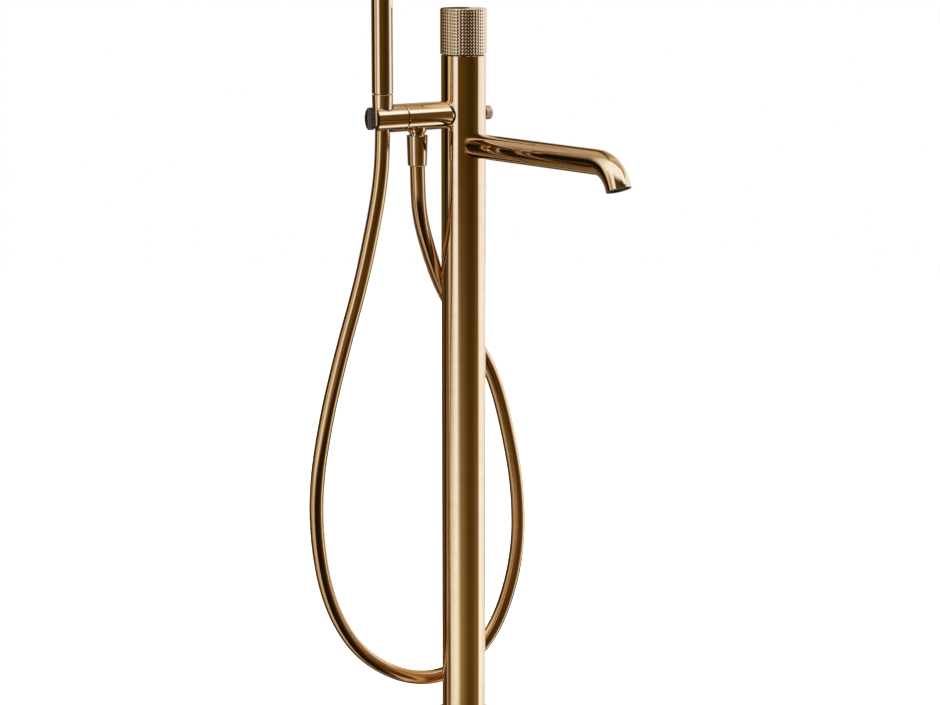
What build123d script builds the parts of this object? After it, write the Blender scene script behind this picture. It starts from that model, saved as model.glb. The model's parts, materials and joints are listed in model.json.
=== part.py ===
from build123d import *
from math import cos, pi, radians, sin, tan
import os

# Floor-standing bath shower mixer, in millimetres, +Z up.
# The origin is on the floor, at the column's axis. +X is to the right and +Y to the back.

# Clearances
running_clearance = 0.05
assembly_clearance = 0.2
cut_overrun = 5.0

# Column and floor fixing
column_diameter = 54.0
column_wall = 2.5
column_top_height = 843.9
column_edge = 0.5
flange_diameter = 125.0
flange_height = 10.0
flange_skin = 3.5
flange_rim = 3.5
flange_edge_round = 1.2
floor_plate_thickness = 5.0
floor_bolt_circle = 84.0
floor_bolt_hole = 7.0
floor_bolt_count = 4
floor_bolt_turn = 45.0
floor_bolt_head = 12.0
floor_bolt_head_depth = 2.5
spigot_height = 30.0
spigot_bore = 43.0
set_screw_diameter = 5.0
set_screw_height = 20.0
set_screw_spread = 60.0
set_screw_socket = 2.5
set_screw_socket_depth = 1.5

# Water pipes
riser_diameter = 10.0
riser_wall = 1.0
riser_offset = 13.6
riser_spacing = 13.0
inlet_diameter = 12.6
inlet_bottom = 6.0
inlet_length = 26.0
inlet_thread_bore = 9.0
inlet_thread_depth = 14.0
inlet_block_bottom = 14.0
inlet_block_height = 10.0
socket_depth = 8.0
mixed_pipe_diameter = 10.0
mixed_pipe_offset = 11.0

# Valve
valve_inset = 3.4
valve_floor = 5.0
cartridge_diameter = 35.0
cartridge_height = 29.0
cartridge_seal_thickness = 1.5
cartridge_nut_diameter = 40.0
cartridge_nut_height = 8.0
spindle_diameter = 10.0
spindle_reach = 24.0
spindle_seat = 6.0
shadow_ring_gap = 0.3
shadow_ring_wall = 3.6

# Control knob
knob_diameter = 56.0
knob_height = 54.7
knob_gap = 1.4
knob_wall = 3.2
knob_roof = 3.5
knob_edge = 0.6
knob_rim_height = 1.3
knurl_depth = 0.5
knob_screw_diameter = 4.0
knob_screw_height = 9.0
knob_insert_gap = 3.0

# Side arm
arm_angle = 36.0
arm_diameter = 33.0
arm_bore = 26.0
seam_gap = 1.1
seam_edge = 0.6
arm_core_diameter = 16.0
arm_core_bore = 10.0
arm_core_start = 10.0
arm_core_cap = 4.0
end_plug_thickness = 8.2
end_plug_inset = 0.6
bush_diameter = 16.0
seam_washer_diameter = 25.6
arm_root_length = 5.6
arm_root_step = 1.3

# Hose outlet under the arm
outlet_reach = 68.1
outlet_neck_diameter = 22.0
outlet_neck_drop = 19.6
outlet_neck_chamfer = 2.0
outlet_thread_diameter = 20.6
outlet_thread_length = 12.6
outlet_bore = 12.6
check_valve_length = 12.0

# Hose and its nuts
hose_diameter = 18.0
hose_arc_share = 0.45
nut_top_diameter = 25.3
nut_bottom_diameter = 22.9
nut_length = 36.6
nut_top_edge = 0.5
nut_bottom_edge = 1.0
outlet_nut_gap = 2.3
washer_thickness = 2.4
hose_nut_clearance = 0.15

# Fork holder
holder_seat_wall = 4.55
holder_nose = 14.7
fork_width = 18.4
lining_thickness = 1.3
lining_inset = 0.35
holder_bolt_diameter = 8.0
holder_bolt_depth = 8.4
holder_bolt_head_diameter = 13.0
holder_bolt_head_height = 3.0

# Hand shower
handset_diameter = 25.4
handset_wall = 1.7
handset_length = 204.9
handset_groove = 0.4
handset_nut_gap = 1.2
handset_nut_rise = 28.7
handset_cap_thickness = 3.0
handset_liner_wall = 1.4
handset_connector_length = 11.6
spray_plate_height = 78.0
spray_plate_width = 13.0
spray_plate_top_margin = 16.0
spray_plate_thickness = 2.2
nozzle_diameter = 1.5
nozzle_height = 0.5
nozzle_columns = 3
nozzle_rows = 12

# Spout
spout_angle = 54.0
spout_drop = 36.6
spout_diameter = 29.2
spout_wall = 1.6
spout_straight = 257.6
spout_bend_radius = 39.4
spout_bend_angle = 68.8
spout_tail = 3.1
spout_collar_width = 1.2
spout_collar_height = 0.9
spout_nipple_diameter = 16.0
spout_nipple_start = 10.0
spout_nipple_end = 42.0
spout_ring_start = 29.0
spout_ring_length = 9.0
aerator_inset = 1.2
aerator_length = 9.0
aerator_ring_width = 1.6
aerator_hole_diameter = 1.9
aerator_hole_rings = 3
aerator_first_ring_count = 6
aerator_hole_pitch = 3.1

# Manifold
manifold_floor = 12.6
manifold_roof = 6.8
mixed_pipe_gap = 9.0
manifold_clearance = 0.25
channel_diameter = 8.0
port_length = 20.0

# Diverter
button_diameter = 16.8
button_start = 29.4
button_end = 39.2
button_edge = 2.0
button_boss_diameter = 12.6
button_boss_length = 1.6
diverter_spindle_diameter = 7.8
diverter_spindle_start = -14.0
diverter_spindle_depth_in_button = 4.0
gland_diameter = 15.8
gland_start = 13.0
gland_proud = 0.6
piston_diameter = 15.4
piston_start = -7.0
piston_length = 9.0
o_ring_thickness = 2.4
o_ring_outer_diameter = 11.6

# Hose route: the points that its straight runs join, from the outlet nut round to the hand shower nut.
hose_route = [
    (-55.1, -40, 738.4),
    (-55.1, -40, 688),
    (-52, -32, 648),
    (-42, -8, 606),
    (-31, 20, 567),
    (-15, 45, 531),
    (4, 62, 496),
    (24, 72, 466),
    (42, 79, 423),
    (57, 84, 359),
    (69, 87, 288),
    (70, 87, 206),
    (51, 81, 128),
    (22, 68, 79),
    (-22, 50, 50),
    (-68, 29, 53),
    (-112, 6, 79),
    (-144, -18, 119),
    (-168, -38, 178),
    (-179, -55, 252),
    (-179, -68, 328),
    (-165, -76, 414),
    (-144.5, -79, 498),
    (-122.5, -79, 575),
    (-107.5, -77, 644),
    (-98.5, -72, 695),
    (-95.1, -69.1, 740),
    (-95.1, -69.1, 789),
]

# Values worked out from the sizes above
column_radius = column_diameter / 2
column_bore_radius = column_radius - column_wall
inner_radius = column_bore_radius - manifold_clearance
knob_bottom_height = column_top_height + knob_gap
knob_top_height = knob_bottom_height + knob_height
cartridge_nut_top = column_top_height - valve_inset
cartridge_top = cartridge_nut_top - cartridge_nut_height
cartridge_bottom = cartridge_top - cartridge_height
cartridge_cavity_bottom = cartridge_bottom - cartridge_seal_thickness
valve_body_bottom = cartridge_cavity_bottom - valve_floor
manifold_top = valve_body_bottom - mixed_pipe_gap
arm_height = manifold_top - manifold_roof - arm_core_diameter / 2
spout_height = arm_height - spout_drop
manifold_bottom = spout_height - spout_nipple_diameter / 2 - manifold_floor
outlet_neck_bottom = arm_height - outlet_neck_drop
outlet_thread_bottom = outlet_neck_bottom - outlet_thread_length
outlet_nut_top = outlet_neck_bottom - outlet_nut_gap
handset_nut_top = arm_height + handset_nut_rise
handset_bottom = handset_nut_top + handset_nut_gap
handset_top = handset_bottom + handset_length
handset_connector_top = handset_bottom + handset_connector_length
handset_thread_bottom = handset_nut_top - (outlet_nut_top - outlet_thread_bottom)
arm_radius = arm_diameter / 2
arm_core_end = outlet_reach + arm_core_bore / 2 + arm_core_cap
holder_bolt_start = arm_core_end + assembly_clearance
end_plug_start = holder_bolt_start + holder_bolt_head_height + assembly_clearance
end_plug_end = end_plug_start + end_plug_thickness
seam_reach = end_plug_end + end_plug_inset
holder_start = seam_reach + seam_gap
holder_bolt_end = holder_start + holder_bolt_depth
holder_seat_radius = nut_top_diameter / 2 + assembly_clearance
holder_reach = holder_bolt_end + holder_seat_wall + holder_seat_radius + lining_thickness
holder_end = holder_reach + holder_nose
arm_direction = Vector(-cos(radians(arm_angle)), -sin(radians(arm_angle)), 0)
arm_side = Vector(-sin(radians(arm_angle)), cos(radians(arm_angle)), 0)
spout_direction = Vector(cos(radians(spout_angle)), -sin(radians(spout_angle)), 0)
up = Vector(0, 0, 1)
arm_plane = Plane(origin=(0, 0, arm_height), x_dir=up, z_dir=arm_direction)
diverter_plane = Plane(origin=(0, 0, arm_height), x_dir=up, z_dir=-arm_direction)
spout_plane = Plane(origin=(0, 0, spout_height), x_dir=up, z_dir=spout_direction)
on_base = (Align.CENTER, Align.CENTER, Align.MIN)

os.makedirs("parts", exist_ok=True)


def rod(radius, start, end, plane=Plane.XY, x=0, y=0):
    """A cylinder along the plane's normal, from start to end."""
    return plane * Pos(x, y, start) * Cylinder(radius, end - start, align=on_base)


def tube(outer, inner, start, end, plane=Plane.XY, x=0, y=0):
    """A cylinder with a bore through it."""
    bore = rod(inner, start - cut_overrun, end + cut_overrun, plane, x, y)
    return rod(outer, start, end, plane, x, y) - bore


def cone(bottom, top, start, end, x=0, y=0):
    """An upright cone between two radii."""
    return Pos(x, y, start) * Cone(bottom, top, end - start, align=on_base)


def end_edges(solid, direction):
    """The edges of the end face that lies furthest along a level direction."""
    return solid.faces().sort_by(Axis(origin=(0, 0, arm_height), direction=direction))[-1].edges()


def save(name, solid):
    """Writes one piece under its node's name."""
    solid.label = name
    export_step(solid, f"parts/{name}.step")


def riser_places():
    """Centres of the two riser pipes, behind the arm's axis."""
    middle = arm_side * riser_offset
    return [middle - arm_direction * (riser_spacing / 2), middle + arm_direction * (riser_spacing / 2)]


# Floor fixing

def make_floor_plate():
    radius = flange_diameter / 2 - flange_rim - assembly_clearance
    plate = tube(radius, spigot_bore / 2, 0, floor_plate_thickness)
    head_bottom = floor_plate_thickness - floor_bolt_head_depth
    for place in PolarLocations(floor_bolt_circle / 2, floor_bolt_count, start_angle=floor_bolt_turn):
        plate -= place * rod(floor_bolt_hole / 2, -cut_overrun, floor_plate_thickness + cut_overrun)
        plate -= place * cone(floor_bolt_hole / 2, floor_bolt_head / 2, head_bottom, floor_plate_thickness)
    return plate


def make_spigot():
    return tube(column_bore_radius - running_clearance, spigot_bore / 2, floor_plate_thickness,
                floor_plate_thickness + spigot_height)


def make_flange():
    outer = rod(flange_diameter / 2, 0, flange_height)
    outer = fillet(outer.edges().group_by(Axis.Z)[-1], flange_edge_round)
    hollow = rod(flange_diameter / 2 - flange_rim, -cut_overrun, flange_height - flange_skin)
    bore = rod(column_radius + assembly_clearance, -cut_overrun, flange_height + cut_overrun)
    return outer - hollow - bore


def set_screw_planes():
    """Planes that look outwards from the column's axis, at the back of its foot."""
    planes = []
    for turn in (-set_screw_spread / 2, set_screw_spread / 2):
        outwards = Vector(0, 1, 0).rotate(Axis.Z, turn)
        planes.append(Plane(origin=(0, 0, set_screw_height), x_dir=up, z_dir=outwards))
    return planes


def make_set_screw(plane):
    end = column_radius - assembly_clearance
    screw = rod(set_screw_diameter / 2 - running_clearance, column_bore_radius, end, plane)
    return screw - rod(set_screw_socket / 2, end - set_screw_socket_depth, end + cut_overrun, plane)


# Column

def make_column():
    column = rod(column_radius, floor_plate_thickness, column_top_height)
    column = chamfer(column.edges().group_by(Axis.Z)[-1], column_edge)
    column -= rod(column_bore_radius, 0, column_top_height + cut_overrun)
    for plane in set_screw_planes():
        column -= rod(set_screw_diameter / 2, 0, column_radius + cut_overrun, plane)
    column -= rod(arm_core_diameter / 2 + assembly_clearance, 0, column_radius + cut_overrun, arm_plane)
    column -= rod(gland_diameter / 2 + assembly_clearance, 0, column_radius + cut_overrun, diverter_plane)
    column -= rod(spout_nipple_diameter / 2 + assembly_clearance, 0, column_radius + cut_overrun, spout_plane)
    return column


def make_inlet_block():
    radius = spigot_bore / 2 - running_clearance
    block = rod(radius, inlet_block_bottom, inlet_block_bottom + inlet_block_height)
    for place in riser_places():
        block -= rod(inlet_diameter / 2, 0, column_top_height, x=place.X, y=place.Y)
    return block


def make_inlet(place):
    top = inlet_bottom + inlet_length
    nipple = rod(inlet_diameter / 2, inlet_bottom, top, x=place.X, y=place.Y)
    thread = rod(inlet_thread_bore / 2, 0, inlet_bottom + inlet_thread_depth, x=place.X, y=place.Y)
    way = rod(riser_diameter / 2 - riser_wall, 0, top + cut_overrun, x=place.X, y=place.Y)
    socket = rod(riser_diameter / 2, top - socket_depth, top + cut_overrun, x=place.X, y=place.Y)
    return nipple - thread - way - socket


def make_riser(place):
    bottom = inlet_bottom + inlet_length - socket_depth
    top = valve_body_bottom + socket_depth / 2
    return tube(riser_diameter / 2, riser_diameter / 2 - riser_wall, bottom, top, x=place.X, y=place.Y)


def make_mixed_pipe():
    place = -arm_side * mixed_pipe_offset
    return tube(mixed_pipe_diameter / 2, mixed_pipe_diameter / 2 - riser_wall,
                manifold_top - socket_depth / 2, valve_body_bottom + socket_depth / 2, x=place.X, y=place.Y)


# Valve

def make_valve_body():
    body = rod(inner_radius, valve_body_bottom, cartridge_nut_top)
    body -= rod(cartridge_diameter / 2 + running_clearance, cartridge_cavity_bottom, column_top_height)
    body -= rod(cartridge_nut_diameter / 2 + running_clearance, cartridge_top, column_top_height)
    for place in riser_places() + [-arm_side * mixed_pipe_offset]:
        socket_top = valve_body_bottom + socket_depth / 2
        way_top = cartridge_cavity_bottom + cut_overrun
        body -= rod(riser_diameter / 2, 0, socket_top, x=place.X, y=place.Y)
        body -= rod(riser_diameter / 2 - riser_wall, 0, way_top, x=place.X, y=place.Y)
    return body


def make_cartridge_seal():
    seal = rod(cartridge_diameter / 2, cartridge_cavity_bottom, cartridge_bottom)
    for place in riser_places() + [-arm_side * mixed_pipe_offset]:
        seal -= rod(riser_diameter / 2 - riser_wall, 0, column_top_height, x=place.X, y=place.Y)
    return seal


def make_cartridge():
    body = rod(cartridge_diameter / 2, cartridge_bottom, cartridge_top)
    seat = cartridge_top - spindle_seat
    return body - rod(spindle_diameter / 2 + running_clearance, seat, column_top_height)


def make_cartridge_nut():
    return tube(cartridge_nut_diameter / 2, spindle_diameter / 2 + assembly_clearance,
                cartridge_top, cartridge_nut_top)


def make_shadow_ring():
    return tube(inner_radius, inner_radius - shadow_ring_wall, cartridge_nut_top,
                knob_bottom_height - shadow_ring_gap)


def make_spindle():
    bottom = cartridge_top - spindle_seat + assembly_clearance
    return rod(spindle_diameter / 2, bottom, knob_bottom_height + spindle_reach)


# Control knob

def knob_screw_plane():
    return Plane(origin=(0, 0, knob_bottom_height + knob_screw_height), x_dir=up, z_dir=(0, 1, 0))


def make_knob():
    radius = knob_diameter / 2
    knob = rod(radius - knurl_depth, knob_bottom_height, knob_top_height)
    knob += rod(radius, knob_bottom_height, knob_top_height - knob_rim_height)
    knob = chamfer(knob.edges().group_by(Axis.Z)[-1], knob_edge)
    knob = chamfer(knob.edges().group_by(Axis.Z)[0], knob_edge)
    knob -= rod(radius - knob_wall, 0, knob_top_height - knob_roof)
    return knob - rod(knob_screw_diameter / 2, 0, radius + cut_overrun, knob_screw_plane())


def make_knob_insert():
    radius = knob_diameter / 2 - knob_wall - running_clearance
    insert = rod(radius, knob_bottom_height + knob_insert_gap, knob_top_height - knob_roof)
    insert -= rod(spindle_diameter / 2, 0, knob_bottom_height + spindle_reach)
    return insert - rod(knob_screw_diameter / 2, 0, radius + cut_overrun, knob_screw_plane())


def make_knob_screw():
    end = knob_diameter / 2 - knurl_depth
    screw = rod(knob_screw_diameter / 2 - running_clearance, spindle_diameter / 2, end, knob_screw_plane())
    socket = rod(set_screw_socket / 2, end - set_screw_socket_depth, end + cut_overrun, knob_screw_plane())
    return screw - socket


# Manifold

def make_manifold():
    block = rod(inner_radius, manifold_bottom, manifold_top)
    for place in riser_places():
        block -= rod(riser_diameter / 2 + assembly_clearance, 0, column_top_height, x=place.X, y=place.Y)
    block -= rod(arm_core_diameter / 2, -column_radius, column_radius, arm_plane)
    block -= rod(spout_nipple_diameter / 2, spout_nipple_start, column_radius, spout_plane)
    block -= rod(channel_diameter / 2, 0, column_radius, spout_plane)
    mixed = -arm_side * mixed_pipe_offset
    socket = manifold_top - socket_depth / 2
    block -= rod(mixed_pipe_diameter / 2, socket, column_top_height, x=mixed.X, y=mixed.Y)
    block -= rod(mixed_pipe_diameter / 2 - riser_wall, arm_height, column_top_height, x=mixed.X, y=mixed.Y)
    return block - rod(channel_diameter / 2, spout_height, arm_height)


# Side arm

def make_arm():
    arm = rod(arm_radius, 0, seam_reach, arm_plane)
    arm = chamfer(end_edges(arm, arm_direction), seam_edge)
    arm -= rod(column_radius, 0, knob_top_height)
    side = arm.faces().sort_by(SortBy.AREA)[-1]
    root = side.edges().sort_by(Axis(origin=(0, 0, arm_height), direction=arm_direction))[0]
    arm = chamfer(root, arm_root_length, arm_root_step, reference=side)
    arm -= rod(arm_bore / 2, 0, seam_reach + cut_overrun, arm_plane)
    outlet = arm_direction * outlet_reach
    return arm - rod(outlet_neck_diameter / 2, 0, arm_height, x=outlet.X, y=outlet.Y)


def make_arm_core():
    core = rod(arm_core_diameter / 2, arm_core_start, arm_core_end, arm_plane)
    core -= rod(arm_core_bore / 2, 0, outlet_reach, arm_plane)
    outlet = arm_direction * outlet_reach
    return core - rod(arm_core_bore / 2, 0, arm_height, x=outlet.X, y=outlet.Y)


def make_seam_washer():
    return tube(seam_washer_diameter / 2, holder_bolt_diameter / 2 + running_clearance, end_plug_end,
                holder_start - running_clearance, arm_plane)


def make_end_plug():
    return tube(arm_bore / 2, bush_diameter / 2, end_plug_start, end_plug_end, arm_plane)


def make_holder_bush():
    return tube(bush_diameter / 2, holder_bolt_diameter / 2 + running_clearance, end_plug_start, end_plug_end,
                arm_plane)


# Hose outlet

def outlet_place():
    return arm_direction * outlet_reach


def make_outlet_neck():
    place = outlet_place()
    top = arm_height - arm_core_diameter / 2
    neck = rod(outlet_neck_diameter / 2, outlet_neck_bottom, top, x=place.X, y=place.Y)
    neck = chamfer(neck.edges().group_by(Axis.Z)[0], outlet_neck_chamfer)
    shoulder = outlet_neck_diameter / 2 - outlet_neck_chamfer
    neck += rod(shoulder, outlet_nut_top, outlet_neck_bottom + cut_overrun, x=place.X, y=place.Y)
    neck += rod(outlet_thread_diameter / 2, outlet_thread_bottom, outlet_nut_top, x=place.X, y=place.Y)
    neck -= rod(outlet_bore / 2, 0, top + cut_overrun, x=place.X, y=place.Y)
    return neck - rod(arm_core_diameter / 2, 0, seam_reach, arm_plane)


def make_check_valve():
    place = outlet_place()
    bottom = outlet_thread_bottom + washer_thickness
    return tube(outlet_bore / 2, outlet_bore / 2 - riser_wall, bottom, bottom + check_valve_length,
                x=place.X, y=place.Y)


def make_outlet_washer():
    place = outlet_place()
    return tube(outlet_thread_diameter / 2 - assembly_clearance, outlet_bore / 2,
                outlet_thread_bottom - washer_thickness, outlet_thread_bottom, x=place.X, y=place.Y)


def make_nut(place, top, thread_bottom):
    """A conical hose nut: threaded above, a plain bore for the hose below."""
    bottom = top - nut_length
    nut = cone(nut_bottom_diameter / 2, nut_top_diameter / 2, bottom, top, place.X, place.Y)
    nut = chamfer(nut.edges().group_by(Axis.Z)[-1], nut_top_edge)
    nut = chamfer(nut.edges().group_by(Axis.Z)[0], nut_bottom_edge)
    thread = rod(outlet_thread_diameter / 2 + running_clearance, thread_bottom, top + cut_overrun,
                 x=place.X, y=place.Y)
    hose_way = rod(hose_diameter / 2 + hose_nut_clearance, 0, thread_bottom + cut_overrun,
                   x=place.X, y=place.Y)
    return nut - thread - hose_way


def make_hose():
    points = [Vector(*point) for point in hose_route]
    radii = []
    for before, here, after in zip(points, points[1:], points[2:]):
        run_in, run_out = here - before, after - here
        half_turn = radians(run_in.get_angle(run_out)) / 2
        radii.append(hose_arc_share * min(run_in.length, run_out.length) / tan(half_turn))
    print("hose radii", [round(radius) for radius in radii])
    path = FilletPolyline(*points, radius=radii)
    section = Plane(origin=path @ 0, z_dir=path % 0) * Circle(hose_diameter / 2)
    hose = sweep(section, path=path)
    whole = pi * (hose_diameter / 2) ** 2 * path.length
    print("hose length", round(path.length, 1), "volume share", round(hose.volume / whole, 5))
    return hose


# Fork holder

def holder_place():
    return arm_direction * holder_reach


def fork_space(margin):
    """The room in the fork: a tapered seat for the nut and a slot out of the end, grown by margin."""
    place = holder_place()
    bottom, top = arm_height - arm_diameter, arm_height + arm_diameter
    slope = (nut_top_diameter - nut_bottom_diameter) / 2 / nut_length
    seat = holder_seat_radius + margin
    seat_at_bottom = seat - slope * (handset_nut_top - bottom)
    seat_at_top = seat - slope * (handset_nut_top - top)
    space = cone(seat_at_bottom, seat_at_top, bottom, top, place.X, place.Y)
    slot_length = holder_end - holder_reach + cut_overrun
    slot = Plane(origin=place, x_dir=arm_direction, z_dir=up) * Pos(slot_length / 2, 0, arm_height) * Box(
        slot_length, fork_width + 2 * margin, 2 * arm_diameter)
    return space + slot


def make_holder():
    body = rod(arm_radius, holder_start, holder_end, arm_plane)
    body = chamfer(end_edges(body, -arm_direction), seam_edge)
    body -= fork_space(lining_thickness)
    return body - rod(holder_bolt_diameter / 2, 0, holder_bolt_end, arm_plane)


def make_fork_lining():
    lining = rod(arm_radius - lining_inset, holder_bolt_end, holder_end - lining_inset, arm_plane)
    lining &= fork_space(lining_thickness)
    return lining - fork_space(0)


def make_holder_bolt():
    head_end = holder_bolt_start + holder_bolt_head_height
    return rod(holder_bolt_diameter / 2, holder_bolt_start, holder_bolt_end, arm_plane) + rod(
        holder_bolt_head_diameter / 2, holder_bolt_start, head_end, arm_plane)


# Hand shower

def make_handset():
    place = holder_place()
    radius = handset_diameter / 2
    stick = rod(radius, handset_bottom, handset_top, x=place.X, y=place.Y)
    stick = chamfer(stick.edges().group_by(Axis.Z)[0], handset_groove)
    stick -= rod(radius - handset_wall, 0, handset_top - handset_cap_thickness, x=place.X, y=place.Y)
    return stick - spray_window(0)


def spray_plane():
    """A plane at the middle of the spray plate, that looks out over the bath."""
    place = holder_place()
    middle = handset_top - spray_plate_top_margin - spray_plate_height / 2
    return Plane(origin=(place.X, place.Y, middle), x_dir=up, z_dir=-arm_side)


def spray_window(margin):
    shape = SlotOverall(spray_plate_height - 2 * margin, spray_plate_width - 2 * margin)
    return extrude(spray_plane() * shape, handset_diameter)


def make_spray_plate():
    place = holder_place()
    outer = handset_diameter / 2 - assembly_clearance
    skin = tube(outer, outer - spray_plate_thickness, handset_bottom, handset_top, x=place.X, y=place.Y)
    plate = skin & spray_window(assembly_clearance)
    row_pitch = (spray_plate_height - spray_plate_width) / (nozzle_rows - 1)
    column_pitch = spray_plate_width / (nozzle_columns + 1)
    for row in range(nozzle_rows):
        for column in range(nozzle_columns):
            x = (row - (nozzle_rows - 1) / 2) * row_pitch
            y = (column - (nozzle_columns - 1) / 2) * column_pitch
            plate += rod(nozzle_diameter / 2, outer - spray_plate_thickness / 2, outer + nozzle_height,
                         spray_plane(), x, y)
    return plate


def make_handset_liner():
    place = holder_place()
    outer = handset_diameter / 2 - handset_wall - spray_plate_thickness
    return tube(outer, outer - handset_liner_wall, handset_connector_top, handset_top - handset_cap_thickness,
                x=place.X, y=place.Y)


def make_handset_connector():
    place = holder_place()
    body = rod(outlet_thread_diameter / 2, handset_thread_bottom, handset_bottom, x=place.X, y=place.Y)
    radius = handset_diameter / 2 - handset_wall
    body += rod(radius, handset_bottom, handset_connector_top, x=place.X, y=place.Y)
    return body - rod(outlet_bore / 2, 0, handset_top, x=place.X, y=place.Y)


def make_handset_washer():
    place = holder_place()
    return tube(outlet_thread_diameter / 2 - assembly_clearance, outlet_bore / 2,
                handset_thread_bottom - washer_thickness, handset_thread_bottom, x=place.X, y=place.Y)


# Spout

def spout_path():
    start = up * spout_height
    bend_start = spout_direction * spout_straight + up * spout_height
    straight = Line(start, bend_start)
    angle = radians(spout_bend_angle)
    bend_middle = bend_start + spout_direction * (spout_bend_radius * sin(angle / 2)) \
        - up * (spout_bend_radius * (1 - cos(angle / 2)))
    bend_end = bend_start + spout_direction * (spout_bend_radius * sin(angle)) \
        - up * (spout_bend_radius * (1 - cos(angle)))
    bend = ThreePointArc(bend_start, bend_middle, bend_end)
    outwards = spout_direction * cos(angle) - up * sin(angle)
    tail = Line(bend_end, bend_end + outwards * spout_tail)
    return Wire([straight.edge(), bend.edge(), tail.edge()]), bend_end + outwards * spout_tail, outwards


def make_spout():
    path = spout_path()[0]
    section = spout_plane * Circle(spout_diameter / 2)
    hollow = spout_plane * Circle(spout_diameter / 2 - spout_wall)
    spout = sweep(section, path=path) - sweep(hollow, path=path)
    return spout - rod(column_radius, 0, knob_top_height)


def make_spout_collar():
    """The small bead where the spout meets the column."""
    reach = column_radius + cut_overrun
    collar = rod(spout_diameter / 2 + spout_collar_width, 0, reach, spout_plane)
    collar &= rod(column_radius + spout_collar_height, 0, column_top_height)
    collar -= rod(column_radius, 0, column_top_height)
    return collar - rod(spout_diameter / 2, 0, reach, spout_plane)


def make_spout_nipple():
    return tube(spout_nipple_diameter / 2, channel_diameter / 2, spout_nipple_start, spout_nipple_end,
                spout_plane)


def make_spout_ring():
    return tube(spout_diameter / 2 - spout_wall, spout_nipple_diameter / 2, spout_ring_start,
                spout_ring_start + spout_ring_length, spout_plane)


def mouth_plane():
    _, mouth, outwards = spout_path()
    return Plane(origin=mouth, z_dir=outwards)


def make_aerator_ring():
    outer = spout_diameter / 2 - spout_wall - assembly_clearance
    return tube(outer, outer - aerator_ring_width, -aerator_inset - aerator_length / 3, -aerator_inset,
                mouth_plane())


def make_aerator():
    radius = spout_diameter / 2 - spout_wall - assembly_clearance - aerator_ring_width
    end = -aerator_inset - aerator_ring_width / 2
    insert = rod(radius, end - aerator_length / 3, end, mouth_plane())
    holes = [(0, 0)]
    for ring in range(1, aerator_hole_rings + 1):
        count = aerator_first_ring_count * ring
        for step in range(count):
            turn = radians(360 / count * step)
            holes.append((ring * aerator_hole_pitch * cos(turn), ring * aerator_hole_pitch * sin(turn)))
    for x, y in holes:
        insert -= rod(aerator_hole_diameter / 2, end - aerator_length, end + cut_overrun, mouth_plane(), x, y)
    return insert


# Diverter

def make_gland():
    gland = tube(gland_diameter / 2, diverter_spindle_diameter / 2 + running_clearance, gland_start,
                 column_radius + gland_proud, diverter_plane)
    return gland - rod(o_ring_outer_diameter / 2, gland_start - cut_overrun, gland_start + o_ring_thickness,
                       diverter_plane)


def make_o_ring():
    return tube(o_ring_outer_diameter / 2, diverter_spindle_diameter / 2 + running_clearance, gland_start,
                gland_start + o_ring_thickness, diverter_plane)


def make_diverter_spindle():
    return rod(diverter_spindle_diameter / 2, diverter_spindle_start,
               button_start + diverter_spindle_depth_in_button, diverter_plane)


def make_piston():
    return tube(piston_diameter / 2, diverter_spindle_diameter / 2, piston_start,
                piston_start + piston_length, diverter_plane)


def make_button():
    button = rod(button_diameter / 2, button_start, button_end, diverter_plane)
    button = fillet(end_edges(button, -arm_direction), button_edge)
    button += rod(button_boss_diameter / 2, button_start - button_boss_length, button_start, diverter_plane)
    return button - rod(diverter_spindle_diameter / 2, 0, button_start + diverter_spindle_depth_in_button,
                        diverter_plane)


hot_place, cold_place = riser_places()
right_foot, left_foot = set_screw_planes()
save("floor_plate", make_floor_plate())
save("column_spigot", make_spigot())
save("floor_flange", make_flange())
save("foot_screw_left", make_set_screw(left_foot))
save("foot_screw_right", make_set_screw(right_foot))
save("column_tube", make_column())
save("inlet_block", make_inlet_block())
save("hot_inlet", make_inlet(hot_place))
save("cold_inlet", make_inlet(cold_place))
save("hot_riser", make_riser(hot_place))
save("cold_riser", make_riser(cold_place))
save("mixed_pipe", make_mixed_pipe())
save("valve_body", make_valve_body())
save("cartridge_seal", make_cartridge_seal())
save("cartridge", make_cartridge())
save("cartridge_nut", make_cartridge_nut())
save("cartridge_spindle", make_spindle())
save("shadow_ring", make_shadow_ring())
save("knob", make_knob())
save("knob_insert", make_knob_insert())
save("knob_screw", make_knob_screw())
save("manifold", make_manifold())
save("arm_tube", make_arm())
save("arm_core", make_arm_core())
save("arm_end_plug", make_end_plug())
save("holder_bush", make_holder_bush())
save("seam_washer", make_seam_washer())
save("outlet_neck", make_outlet_neck())
save("check_valve", make_check_valve())
save("outlet_washer", make_outlet_washer())
save("outlet_nut", make_nut(outlet_place(), outlet_nut_top, outlet_thread_bottom - washer_thickness))
save("hose", make_hose())
save("handset_nut", make_nut(holder_place(), handset_nut_top, handset_thread_bottom - washer_thickness))
save("holder_body", make_holder())
save("fork_lining", make_fork_lining())
save("holder_bolt", make_holder_bolt())
save("handset_body", make_handset())
save("handset_liner", make_handset_liner())
save("handset_connector", make_handset_connector())
save("handset_washer", make_handset_washer())
save("spray_plate", make_spray_plate())
save("spout_tube", make_spout())
save("spout_collar", make_spout_collar())
save("spout_nipple", make_spout_nipple())
save("spout_ring", make_spout_ring())
save("aerator_ring", make_aerator_ring())
save("aerator", make_aerator())
save("diverter_gland", make_gland())
save("diverter_o_ring", make_o_ring())
save("diverter_spindle", make_diverter_spindle())
save("diverter_piston", make_piston())
save("diverter_button", make_button())
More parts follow.
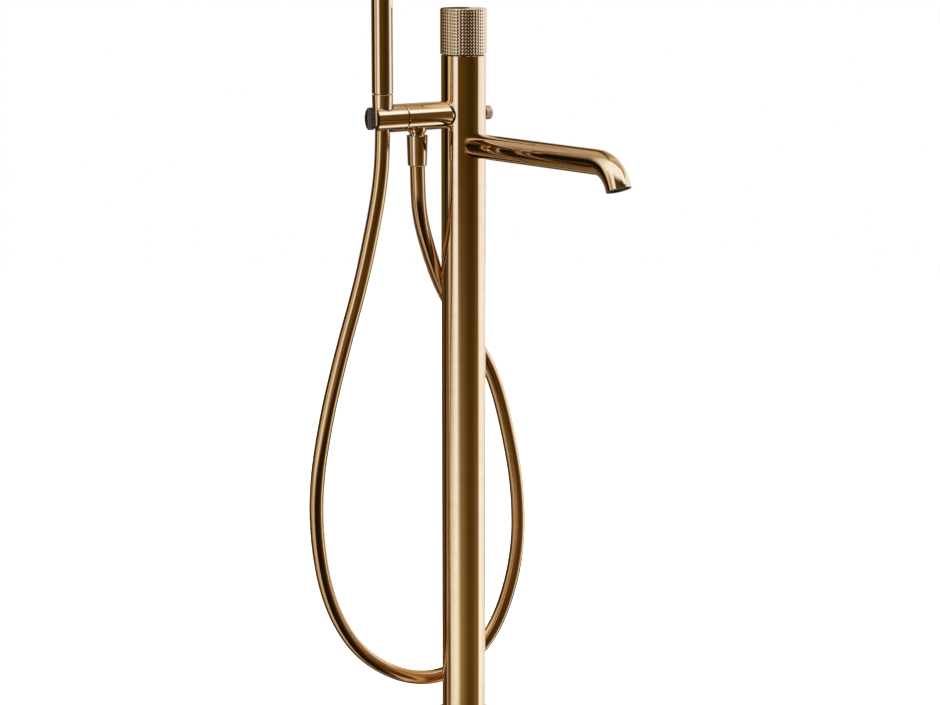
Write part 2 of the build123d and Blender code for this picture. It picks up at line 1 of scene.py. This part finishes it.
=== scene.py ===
import bmesh
import bpy
import json
from math import cos, pi, radians, sin, sqrt
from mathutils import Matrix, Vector


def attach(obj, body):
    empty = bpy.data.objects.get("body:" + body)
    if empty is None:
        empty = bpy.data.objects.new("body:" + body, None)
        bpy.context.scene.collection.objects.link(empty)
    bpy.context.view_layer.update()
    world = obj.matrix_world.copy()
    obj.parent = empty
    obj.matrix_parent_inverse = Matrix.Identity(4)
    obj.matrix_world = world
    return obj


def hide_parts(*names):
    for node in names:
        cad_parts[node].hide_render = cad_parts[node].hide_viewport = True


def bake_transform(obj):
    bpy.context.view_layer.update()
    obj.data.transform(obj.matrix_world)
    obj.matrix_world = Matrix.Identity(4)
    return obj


# Floor-standing bath shower mixer in polished copper-gold. Metres, +Z up, the viewer at -Y.

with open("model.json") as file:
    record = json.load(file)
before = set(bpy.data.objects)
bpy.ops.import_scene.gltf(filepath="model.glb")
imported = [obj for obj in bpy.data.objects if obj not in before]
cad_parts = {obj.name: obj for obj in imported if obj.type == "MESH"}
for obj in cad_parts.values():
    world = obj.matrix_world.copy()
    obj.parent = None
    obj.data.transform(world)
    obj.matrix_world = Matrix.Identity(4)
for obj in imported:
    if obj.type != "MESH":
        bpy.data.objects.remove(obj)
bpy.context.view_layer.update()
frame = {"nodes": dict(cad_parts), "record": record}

MM = 0.001
scene = bpy.context.scene


# Camera: a long lens just above the hand shower's top. Film and lens are in millimetres.

FILM_WIDTH = 36.0
FOCAL_LENGTH = 92.87
CAMERA_PLACE = (0.0078, -2.930, 1.0233)
CAMERA_TILT = radians(79.5)
NEAREST_SEEN = 0.05
FARTHEST_SEEN = 50.0


def make_camera():
    data = bpy.data.cameras.new("camera")
    data.sensor_width = FILM_WIDTH
    data.lens = FOCAL_LENGTH
    data.clip_start = NEAREST_SEEN
    data.clip_end = FARTHEST_SEEN
    camera = bpy.data.objects.new("camera", data)
    camera.location = CAMERA_PLACE
    camera.rotation_euler = (CAMERA_TILT, 0.0, 0.0)
    scene.collection.objects.link(camera)
    scene.camera = camera


make_camera()


# Shader building

def linear(hex_colour):
    """An sRGB hex colour as linear red, green, blue and alpha, by the curve of the sRGB standard."""
    values = []
    for start in (0, 2, 4):
        share = int(hex_colour[start:start + 2], 16) / 255
        values.append(share / 12.92 if share <= 0.04045 else ((share + 0.055) / 1.055) ** 2.4)
    return (*values, 1.0)


def add_node(tree, kind, settings=None, links=None):
    """Adds a shader node. Settings go to its properties or its sockets, links join its sockets."""
    node = tree.nodes.new(kind)
    for key, value in (settings or {}).items():
        if isinstance(key, str) and hasattr(node, key):
            setattr(node, key, value)
        else:
            node.inputs[key].default_value = value
    for key, source in (links or {}).items():
        tree.links.new(source, node.inputs[key])
    return node


def from_to(source, target=(0.0, 1.0)):
    """Settings that carry one span of values to another."""
    return {"From Min": source[0], "From Max": source[1], "To Min": target[0], "To Max": target[1]}


def set_stops(ramp, stops):
    """Gives a colour ramp its stops: the place of each, from 0 to 1, and its hex colour."""
    while len(ramp.elements) < len(stops):
        ramp.elements.new(0.5)
    for element, (share, _) in zip(ramp.elements, stops):
        element.position = share
    for element, (_, colour) in zip(ramp.elements, stops):
        element.color = linear(colour)


def start_material(name):
    """An empty material with its shader, its output and the object's own coordinates."""
    material = bpy.data.materials.new(name)
    material.use_nodes = True
    tree = material.node_tree
    tree.nodes.clear()
    output = add_node(tree, "ShaderNodeOutputMaterial")
    shader = add_node(tree, "ShaderNodeBsdfPrincipled")
    tree.links.new(shader.outputs["BSDF"], output.inputs["Surface"])
    place = add_node(tree, "ShaderNodeTexCoord").outputs["Object"]
    return material, tree, shader, place


def join_finish(tree, shader, metallic, tone, rough, relief=None):
    """Lets the nodes of a finish drive the shader's colour, roughness and relief."""
    shader.inputs["Metallic"].default_value = metallic
    tree.links.new(tone.outputs["Color"], shader.inputs["Base Color"])
    tree.links.new(rough.outputs["Result"], shader.inputs["Roughness"])
    if relief is not None:
        tree.links.new(relief.outputs["Normal"], shader.inputs["Normal"])


def per_metre(size_mm):
    """The texture scale that makes one cell of a pattern this many millimetres wide."""
    return 1 / (size_mm * MM)


# Finishes. A haze or grain runs from its first tone to its second, and roughness follows it. The tint is
# the middle of the copper's two tones.

COPPER_TONES = ("E5C198", "EBC9A2")
COPPER_TINT = "E8C59D"
HAZE_MM = 14
HAZE_SPAN = (0.3, 0.7)
HAZE_ROUGHNESS_SHARES = (0.8, 1.25)
WAVE_MM = 45
WAVE_STRENGTH = 0.004
WAVE_HEIGHT = 10 * MM
HOSE_TONES = ("DDB07C", "E6BA88")
HOSE_ROUGHNESS = (0.15, 0.18)
HOSE_GRAIN_MM = 25
GRAIN_ROUGHNESS_SHARES = (0.85, 1.15)
GRAIN_HEIGHT = 0.2 * MM
WHOLE_SPAN = (0.0, 1.0)


def polished_copper(name, roughness=0.055):
    """Copper-gold plated brass, buffed to a mirror: faint polishing haze and a hint of waviness."""
    material, tree, shader, place = start_material(name)
    haze = add_node(tree, "ShaderNodeTexNoise",
                    {"Scale": per_metre(HAZE_MM), "Detail": 4.0, "Roughness": 0.6}, {"Vector": place})
    rough = add_node(tree, "ShaderNodeMapRange",
                     from_to(HAZE_SPAN, [roughness * share for share in HAZE_ROUGHNESS_SHARES]),
                     {"Value": haze.outputs["Fac"]})
    tone = add_node(tree, "ShaderNodeValToRGB", {}, {"Fac": haze.outputs["Fac"]})
    set_stops(tone.color_ramp, list(zip(HAZE_SPAN, COPPER_TONES)))
    wave = add_node(tree, "ShaderNodeTexNoise", {"Scale": per_metre(WAVE_MM), "Detail": 1.0},
                    {"Vector": place})
    relief = add_node(tree, "ShaderNodeBump", {"Strength": WAVE_STRENGTH, "Distance": WAVE_HEIGHT},
                      {"Height": wave.outputs["Fac"]})
    join_finish(tree, shader, 1.0, tone, rough, relief)
    return material


def satin_hose_skin():
    """Smooth metallised PVC, extruded: the same copper-gold, but satin, so it only shows soft streaks."""
    material, tree, shader, place = start_material("satin_metallised_pvc")
    grain = add_node(tree, "ShaderNodeTexNoise", {"Scale": per_metre(HOSE_GRAIN_MM), "Detail": 2.0},
                     {"Vector": place})
    tone = add_node(tree, "ShaderNodeValToRGB", {}, {"Fac": grain.outputs["Fac"]})
    set_stops(tone.color_ramp, list(zip(WHOLE_SPAN, HOSE_TONES)))
    rough = add_node(tree, "ShaderNodeMapRange", from_to(WHOLE_SPAN, HOSE_ROUGHNESS),
                     {"Value": grain.outputs["Fac"]})
    join_finish(tree, shader, 1.0, tone, rough)
    return material


def plain_finish(name, dark, light, metallic, roughness, grain_mm, bump=0.0):
    """A finish with a fine two-tone grain: moulded plastic, rubber or turned metal."""
    material, tree, shader, place = start_material(name)
    grain = add_node(tree, "ShaderNodeTexNoise", {"Scale": per_metre(grain_mm), "Detail": 5.0},
                     {"Vector": place})
    tone = add_node(tree, "ShaderNodeValToRGB", {}, {"Fac": grain.outputs["Fac"]})
    set_stops(tone.color_ramp, list(zip(WHOLE_SPAN, (dark, light))))
    rough = add_node(tree, "ShaderNodeMapRange",
                     from_to(WHOLE_SPAN, [roughness * share for share in GRAIN_ROUGHNESS_SHARES]),
                     {"Value": grain.outputs["Fac"]})
    relief = add_node(tree, "ShaderNodeBump", {"Strength": bump, "Distance": GRAIN_HEIGHT},
                      {"Height": grain.outputs["Fac"]})
    join_finish(tree, shader, metallic, tone, rough, relief)
    return material


FINISHES = {
    # Buffed plate: a clear mirror, in which the room stands as sharp bands.
    "copper": polished_copper("polished_copper_gold_plate"),
    # The same plate over a rolled knurl: each dimple glints, a little softer than the plain tubes.
    "knurled_copper": polished_copper("knurled_copper_gold_plate", roughness=0.09),
    "hose_skin": satin_hose_skin(),
    # Injection moulded acetal: charcoal and dull. In the seam under the knob this dark finish is painted
    # shade: a ring of it fills the gap, so the gap reads as a thin dark line of shadow.
    "dark_plastic": plain_finish("charcoal_acetal_and_painted_seam_shade", "38383A", "3E3E41", 0.0, 0.42, 1.2),
    # Moulded EPDM seals: black and matt, with a faint bloom.
    "rubber": plain_finish("moulded_black_epdm", "101010", "181818", 0.0, 0.7, 0.8, 0.1),
    # Turned brass, bare inside: yellow, with a soft turning grain.
    "raw_brass": plain_finish("turned_raw_brass", "B79A5B", "C9AC6A", 1.0, 0.28, 0.7, 0.05),
    # Brushed stainless steel: a pale grey that spreads its highlights.
    "steel": plain_finish("brushed_stainless_steel", "A9A9A9", "BDBDBD", 1.0, 0.35, 0.6, 0.05),
    # Moulded ivory acetal: warm white, with a soft even sheen.
    "light_plastic": plain_finish("moulded_ivory_acetal", "D5D3CB", "E0DED7", 0.0, 0.45, 1.5, 0.05),
}
SLOT_OF = {part["node"]: part["material_slot"] for part in frame["record"]["subparts"]}

# Two pieces differ from their slot: the small button's plate is satin, so it looks evenly tan, and the
# steel ring in the spout's mouth is blackened, so the mouth looks dark.
OWN_FINISHES = {
    "diverter_button": polished_copper("satin_copper_gold_plate", roughness=0.5),
    "aerator_ring": plain_finish("blackened_stainless_steel", "303336", "3A3D41", 1.0, 0.5, 0.6),
}


def put_finish(piece, finish):
    piece.data.materials.clear()
    piece.data.materials.append(finish)


for node_name, node_object in frame["nodes"].items():
    put_finish(node_object, OWN_FINISHES.get(node_name, FINISHES[SLOT_OF[node_name]]))


# Mesh building

def turns(count):
    """Equally spaced angles, once round."""
    return [2 * pi * k / count for k in range(count)]


def skin_rings(work, rings):
    """Joins rings of equally many points by faces, and closes both ends with fans."""
    made = [[work.verts.new(point) for point in ring] for ring in rings]
    count = len(made[0])
    for one, other in zip(made, made[1:]):
        for i in range(count):
            j = (i + 1) % count
            work.faces.new((one[i], one[j], other[j], other[i]))
    for ring in (made[0], made[-1]):
        middle = work.verts.new(sum((vertex.co for vertex in ring), Vector()) / count)
        for i in range(count):
            work.faces.new((ring[i], ring[(i + 1) % count], middle))


def new_piece(name, rings, slot, body, replaced):
    """Skins rings as a piece that stands for CAD nodes, and lets it ride on a body where one is named."""
    work = bmesh.new()
    skin_rings(work, rings)
    bmesh.ops.recalc_face_normals(work, faces=work.faces)
    mesh = bpy.data.meshes.new(name)
    work.to_mesh(mesh)
    work.free()
    piece = bpy.data.objects.new(name, mesh)
    scene.collection.objects.link(piece)
    put_finish(piece, FINISHES[slot])
    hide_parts(*replaced)
    if body:
        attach(piece, body)
    return piece


def shade_smooth(piece, sharp_degrees=None):
    piece.data.polygons.foreach_set("use_smooth", [True] * len(piece.data.polygons))
    if sharp_degrees is not None:
        piece.data.set_sharp_from_angle(angle=radians(sharp_degrees))


# The hose: the same route as its CAD solid, from the outlet nut round to the hand shower nut.

HOSE_DIAMETER = 0.018
HOSE_SIDES = 32
HOSE_STEPS = 14
HOSE_ROUTE = [
    (-0.0551, -0.0400, 0.7384),
    (-0.0551, -0.0400, 0.688),
    (-0.0520, -0.0320, 0.648),
    (-0.0420, -0.0080, 0.606),
    (-0.0310, 0.0200, 0.567),
    (-0.0150, 0.0450, 0.531),
    (0.0040, 0.0620, 0.496),
    (0.0240, 0.0720, 0.466),
    (0.0420, 0.0790, 0.423),
    (0.0570, 0.0840, 0.359),
    (0.0690, 0.0870, 0.288),
    (0.0700, 0.0870, 0.206),
    (0.0510, 0.0810, 0.128),
    (0.0220, 0.0680, 0.079),
    (-0.0220, 0.0500, 0.050),
    (-0.0680, 0.0290, 0.053),
    (-0.1120, 0.0060, 0.079),
    (-0.1440, -0.0180, 0.119),
    (-0.1680, -0.0380, 0.178),
    (-0.1790, -0.0550, 0.252),
    (-0.1790, -0.0680, 0.328),
    (-0.1650, -0.0760, 0.414),
    (-0.1445, -0.0790, 0.498),
    (-0.1225, -0.0790, 0.575),
    (-0.1075, -0.0770, 0.644),
    (-0.0985, -0.0720, 0.695),
    (-0.0951, -0.0691, 0.740),
    (-0.0951, -0.0691, 0.789),
]


def hose_centreline():
    """Points along the smooth curve that the route's points control."""
    curve = bpy.data.curves.new("hose_route", "CURVE")
    curve.dimensions = "3D"
    curve.resolution_u = HOSE_STEPS
    spline = curve.splines.new("NURBS")
    spline.points.add(len(HOSE_ROUTE) - 1)
    for point, place in zip(spline.points, HOSE_ROUTE):
        point.co = (*place, 1.0)
    spline.order_u = 3
    spline.use_endpoint_u = True
    holder = bpy.data.objects.new("hose_route", curve)
    scene.collection.objects.link(holder)
    line = bpy.data.meshes.new_from_object(holder)
    points = [vertex.co.copy() for vertex in line.vertices]
    bpy.data.objects.remove(holder)
    bpy.data.curves.remove(curve)
    bpy.data.meshes.remove(line)
    return points


def hose_rings(points):
    """Rings square to the centreline, none of them twisted against the one before."""
    across = Vector((1, 0, 0))
    rings = []
    for i, point in enumerate(points):
        along = (points[min(i + 1, len(points) - 1)] - points[max(i - 1, 0)]).normalized()
        across = (across - along * across.dot(along)).normalized()
        other = along.cross(across)
        rings.append([point + (across * cos(turn) + other * sin(turn)) * (HOSE_DIAMETER / 2)
                      for turn in turns(HOSE_SIDES)])
    return rings


hose_points = hose_centreline()
hose = new_piece("hose_skin", hose_rings(hose_points), "hose_skin", None, ["hose"])
shade_smooth(hose)
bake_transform(hose)


# The control knob's sleeve: a cup, open below, with its knurl cut as real relief.

KNOB_RADIUS = 28.0 * MM
KNOB_BOTTOM = 845.3 * MM
KNOB_TOP = 900.0 * MM
KNOB_INNER_RADIUS = 24.8 * MM
KNOB_BOTTOM_RADIUS = 27.2 * MM
KNOB_TOP_THICKNESS = 3.5 * MM
KNOB_TOP_EDGE = 0.9 * MM
KNOB_EDGE_STEPS = 6
KNOB_SHARP_DEGREES = 50
INNER_FAN_RADIUS = 8 * MM
OUTER_FAN_RADIUS = 10 * MM
KNURL_BOTTOM = 845.5 * MM
KNURL_TOP = 898.6 * MM
KNURL_DEPTH = 0.78 * MM
KNURL_AROUND = 44
KNURL_ROWS = 14
KNURL_STEPS = 8
KNURL_REACH = 0.52


def dimple_depth(across, up):
    """Depth of one knurl dimple, from 0 around it to 1 at its middle."""
    from_middle = sqrt(((across % 1) - 0.5) ** 2 + ((up % 1) - 0.5) ** 2)
    return max(0.0, 1 - (from_middle / KNURL_REACH) ** 2) ** 2


def knob_rings():
    """Rings from the cup's hollow down its wall, up the knurl and over the rounded top edge."""
    angles = turns(KNURL_AROUND * KNURL_STEPS)

    def ring(radius, height):
        return [Vector((radius * cos(turn), radius * sin(turn), height)) for turn in angles]

    ceiling = KNOB_TOP - KNOB_TOP_THICKNESS
    rings = [ring(INNER_FAN_RADIUS, ceiling), ring(KNOB_INNER_RADIUS, ceiling),
             ring(KNOB_INNER_RADIUS, KNOB_BOTTOM), ring(KNOB_BOTTOM_RADIUS, KNOB_BOTTOM)]
    rows = KNURL_ROWS * KNURL_STEPS
    for row in range(rows + 1):
        height = KNURL_BOTTOM + (KNURL_TOP - KNURL_BOTTOM) * row / rows
        points = []
        for k, turn in enumerate(angles):
            radius = KNOB_RADIUS - KNURL_DEPTH * dimple_depth(k / KNURL_STEPS, row / KNURL_STEPS)
            points.append(Vector((radius * cos(turn), radius * sin(turn), height)))
        rings.append(points)
    edge_radius = KNOB_RADIUS - KNURL_DEPTH - KNOB_TOP_EDGE
    edge_height = KNOB_TOP - KNOB_TOP_EDGE
    for step in range(KNOB_EDGE_STEPS + 1):
        turn = pi / 2 * step / KNOB_EDGE_STEPS
        rings.append(ring(edge_radius + KNOB_TOP_EDGE * cos(turn), edge_height + KNOB_TOP_EDGE * sin(turn)))
    rings.append(ring(OUTER_FAN_RADIUS, KNOB_TOP))
    return rings


knob_sleeve = new_piece("knob_sleeve", knob_rings(), "knurled_copper", "knob", ["knob"])
shade_smooth(knob_sleeve, KNOB_SHARP_DEGREES)


# Studio: a pale floor and soft lights, none of which shows in the metal.

FLOOR_RADIUS = 4.0
FLOOR_SIDES = 96
FLOOR_DROP = 0.5 * MM
GLOW_POWER = 3.0
GLOW_ANGLE = radians(60)
# Each softbox: its name, its place, the point that it lights, its diameter and its power in watts.
SOFTBOXES = [
    ("ceiling_softbox", (0.4, -0.6, 2.6), (0, 0, 0.2), 2.6, 75),
    ("left_softbox", (-2.0, -1.6, 1.6), (0, 0, 0.5), 1.4, 30),
    ("right_softbox", (2.0, -0.6, 1.5), (0, 0, 0.5), 1.4, 30),
]


def make_floor():
    work = bmesh.new()
    bmesh.ops.create_circle(work, cap_ends=True, segments=FLOOR_SIDES, radius=FLOOR_RADIUS)
    mesh = bpy.data.meshes.new("studio_floor")
    work.to_mesh(mesh)
    work.free()
    floor = bpy.data.objects.new("studio_floor", mesh)
    scene.collection.objects.link(floor)
    floor.location.z = -FLOOR_DROP
    material, _, shader, _ = start_material("matte_white_studio_floor")
    shader.inputs["Base Color"].default_value = linear("F2F2F0")
    shader.inputs["Roughness"].default_value = 0.9
    shader.inputs["Specular IOR Level"].default_value = 0.1
    mesh.materials.append(material)
    floor.visible_glossy = False


def add_light(name, kind, power):
    """A light that neither the metal nor the camera sees."""
    data = bpy.data.lights.new(name, kind)
    data.energy = power
    light = bpy.data.objects.new(name, data)
    light.visible_glossy = False
    light.visible_camera = False
    scene.collection.objects.link(light)
    return light


def make_ceiling_glow():
    """An even, very soft light from the whole ceiling, so that the floor stays white as far as it goes."""
    add_light("ceiling_glow", "SUN", GLOW_POWER).data.angle = GLOW_ANGLE


def make_softbox(name, place, target, diameter, power):
    light = add_light(name, "AREA", power)
    light.data.shape = "DISK"
    light.data.size = diameter
    light.location = place
    light.rotation_euler = (Vector(target) - Vector(place)).to_track_quat("-Z", "Y").to_euler()


# The room that the polished metal mirrors, in four bands, one above the other. Each stop of a band is a
# turn in degrees, from 0 at the viewer's side to 90 at +X, and the colour that this part of the room has
# in the copper-gold finish.

# At eye level.
HORIZON = [
    (-180, "3A2208"), (-150, "553309"), (-127, "5F3A10"), (-108, "180C01"), (-95, "120A00"),
    (-89, "160C00"), (-84, "C9A472"), (-76, "E0BD8D"), (-69, "B28A55"), (-64, "7A5426"),
    (-58, "C9A878"), (-47, "EFDCC6"), (-33, "F3E2D0"), (-27, "5A3608"), (-22, "5A3608"),
    (11, "4A2D06"), (30, "3A2404"), (50, "3A2504"), (72, "5C3B10"), (79, "603E12"),
    (86, "ECD6BB"), (120, "F4E4D2"), (153, "DDBF95"), (180, "C9A070"),
]
# A little lower, as the column's foot mirrors it.
LOW = [
    (-180, "3A2208"), (-150, "553309"), (-127, "5F3A10"), (-117, "2A1604"), (-109, "1E0F02"),
    (-105, "6E4C22"), (-101, "A88256"), (-98, "B08B60"), (-94, "8F6738"), (-87, "5E3C13"),
    (-81, "4B2A00"), (-75, "8D6E42"), (-68, "E8CAA2"), (-58, "E9CFAE"), (-47, "F0DDC1"),
    (-36, "F0DFCA"), (-27, "E0C6A0"), (-19, "B08A5C"), (-12, "8E6537"), (-2, "85602F"),
    (10, "6E4B20"), (24, "573611"), (40, "56330B"), (54, "5E3C13"), (66, "72501F"),
    (76, "7E5528"), (84, "7C5628"), (92, "F8E8CC"), (101, "FBEBD2"), (120, "F0DFC2"),
    (153, "DDBF95"), (180, "C9A070"),
]
# Above eye level.
ABOVE = [
    (-180, "3A2000"), (-174, "452600"), (-167, "704E24"), (-161, "997A4E"), (-152, "BE9E72"),
    (-143, "B19165"), (-135, "AE8D62"), (-122, "B79569"), (-108, "A98458"), (-92, "E0C298"),
    (-60, "F8E8D2"), (0, "F8E6CE"), (60, "F8E6CE"), (76, "FFF0DA"), (84, "FFF6DE"),
    (92, "F4DFBD"), (98, "C8B08B"), (106, "A88254"), (116, "BE9463"), (128, "AF8B5E"),
    (142, "D2B085"), (158, "A48054"), (172, "876E4C"), (180, "5A3A14"),
]
# Towards the floor.
BELOW = [
    (-180, "5A380E"), (-168, "5A3A10"), (-158, "8A6840"), (-149, "A4825A"), (-142, "80602F"),
    (-135, "684820"), (-129, "70502A"), (-123, "6E4E28"), (-118, "4A2E10"), (-113, "1A0B00"),
    (-106, "120700"), (-98, "2A1803"), (-84, "B89870"), (-40, "D9BC96"), (-32, "241203"),
    (0, "1C0E02"), (50, "241404"), (68, "5A3710"), (78, "593101"), (81, "7E562A"),
    (85, "C0A070"), (89, "F4DFBD"), (96, "FFF6DC"), (101, "F0DFC0"), (106, "A88E6C"),
    (112, "5A3C20"), (118, "280E00"), (134, "2B1400"), (148, "6E5739"), (162, "5E4626"),
    (180, "5A380E"),
]
# The heights between which one band fades into the next.
LOW_FADE = (radians(-6), radians(-17))
BELOW_FADE = (radians(-18.5), radians(-22))
# The upper band starts higher towards the right and towards the viewer, where it also fades in over more.
LEFT_TO_RIGHT = (-0.8, -0.2)
ABOVE_START = (radians(11.5), radians(26))
SIDE_TO_VIEWER = (0.3, 0.6)
ABOVE_START_LIFT = (0.0, radians(11))
ABOVE_END = (radians(31), radians(50))
# The white that lights the floor and the matt pieces, and the white that the camera sees behind them.
FILL_STRENGTH = 0.55
BACKDROP_STRENGTH = 1.0
WHITE = (1, 1, 1, 1)
# The colour mix's sockets, by number, because its other kinds have sockets of the same names.
MIX_SHARE = 0
MIX_FIRST = 6
MIX_SECOND = 7
MIX_RESULT = 2


def room_band(tree, turn_share, band):
    """The colour of one band of the room, by the share of a whole turn."""
    ramp = add_node(tree, "ShaderNodeValToRGB", {}, {"Fac": turn_share})
    set_stops(ramp.color_ramp, [((degrees + 180) / 360, colour) for degrees, colour in band])
    return ramp.outputs["Color"]


def mirrored_room(tree):
    """The room's colour in the direction of a mirrored ray."""
    coordinates = add_node(tree, "ShaderNodeTexCoord")
    way = add_node(tree, "ShaderNodeSeparateXYZ", {}, {"Vector": coordinates.outputs["Generated"]})
    front = add_node(tree, "ShaderNodeMath", {"operation": "MULTIPLY", 1: -1.0}, {0: way.outputs["Y"]})
    turn = add_node(tree, "ShaderNodeMath", {"operation": "ARCTAN2"},
                    {0: way.outputs["X"], 1: front.outputs["Value"]})
    share = add_node(tree, "ShaderNodeMapRange", from_to((-pi, pi)), {"Value": turn.outputs["Value"]})
    lift = add_node(tree, "ShaderNodeMath", {"operation": "ARCSINE"}, {0: way.outputs["Z"]})
    low = add_node(tree, "ShaderNodeMapRange", from_to(LOW_FADE), {"Value": lift.outputs["Value"]})
    side_start = add_node(tree, "ShaderNodeMapRange", from_to(LEFT_TO_RIGHT, ABOVE_START),
                          {"Value": way.outputs["X"]})
    viewer_lift = add_node(tree, "ShaderNodeMapRange", from_to(SIDE_TO_VIEWER, ABOVE_START_LIFT),
                           {"Value": front.outputs["Value"]})
    start = add_node(tree, "ShaderNodeMath", {"operation": "ADD"},
                     {0: side_start.outputs["Result"], 1: viewer_lift.outputs["Result"]})
    end = add_node(tree, "ShaderNodeMapRange", from_to(SIDE_TO_VIEWER, ABOVE_END),
                   {"Value": front.outputs["Value"]})
    above = add_node(tree, "ShaderNodeMapRange", {},
                     {"Value": lift.outputs["Value"], "From Min": start.outputs["Value"],
                      "From Max": end.outputs["Result"]})
    below = add_node(tree, "ShaderNodeMapRange", from_to(BELOW_FADE), {"Value": lift.outputs["Value"]})

    turn_share = share.outputs["Result"]
    colour = room_band(tree, turn_share, HORIZON)
    for fade, band in ((low, LOW), (above, ABOVE), (below, BELOW)):
        mix = add_node(tree, "ShaderNodeMix", {"data_type": "RGBA"},
                       {MIX_SHARE: fade.outputs["Result"], MIX_FIRST: colour,
                        MIX_SECOND: room_band(tree, turn_share, band)})
        colour = mix.outputs[MIX_RESULT]
    return colour


def make_world():
    """The room for mirrored rays, an even fill for the others and a white backdrop for the camera.

    The room's colours are divided by the copper's tint, because the copper tints what it mirrors.
    """
    world = bpy.data.worlds.new("studio")
    scene.world = world
    world.use_nodes = True
    tree = world.node_tree
    tree.nodes.clear()
    output = add_node(tree, "ShaderNodeOutputWorld")
    red, green, blue, _ = linear(COPPER_TINT)
    untinted = add_node(tree, "ShaderNodeVectorMath",
                        {"operation": "MULTIPLY", 1: (1 / red, 1 / green, 1 / blue)},
                        {0: mirrored_room(tree)})
    mirrored = add_node(tree, "ShaderNodeBackground", {}, {"Color": untinted.outputs["Vector"]})
    fill = add_node(tree, "ShaderNodeBackground", {"Color": WHITE, "Strength": FILL_STRENGTH})
    backdrop = add_node(tree, "ShaderNodeBackground", {"Color": WHITE, "Strength": BACKDROP_STRENGTH})
    ray = add_node(tree, "ShaderNodeLightPath")
    lit = add_node(tree, "ShaderNodeMixShader", {},
                   {0: ray.outputs["Is Glossy Ray"], 1: fill.outputs["Background"],
                    2: mirrored.outputs["Background"]})
    seen = add_node(tree, "ShaderNodeMixShader", {},
                    {0: ray.outputs["Is Camera Ray"], 1: lit.outputs["Shader"],
                     2: backdrop.outputs["Background"]})
    tree.links.new(seen.outputs["Shader"], output.inputs["Surface"])


make_floor()
make_ceiling_glow()
for softbox in SOFTBOXES:
    make_softbox(*softbox)
make_world()
scene.view_settings.view_transform = "Standard"
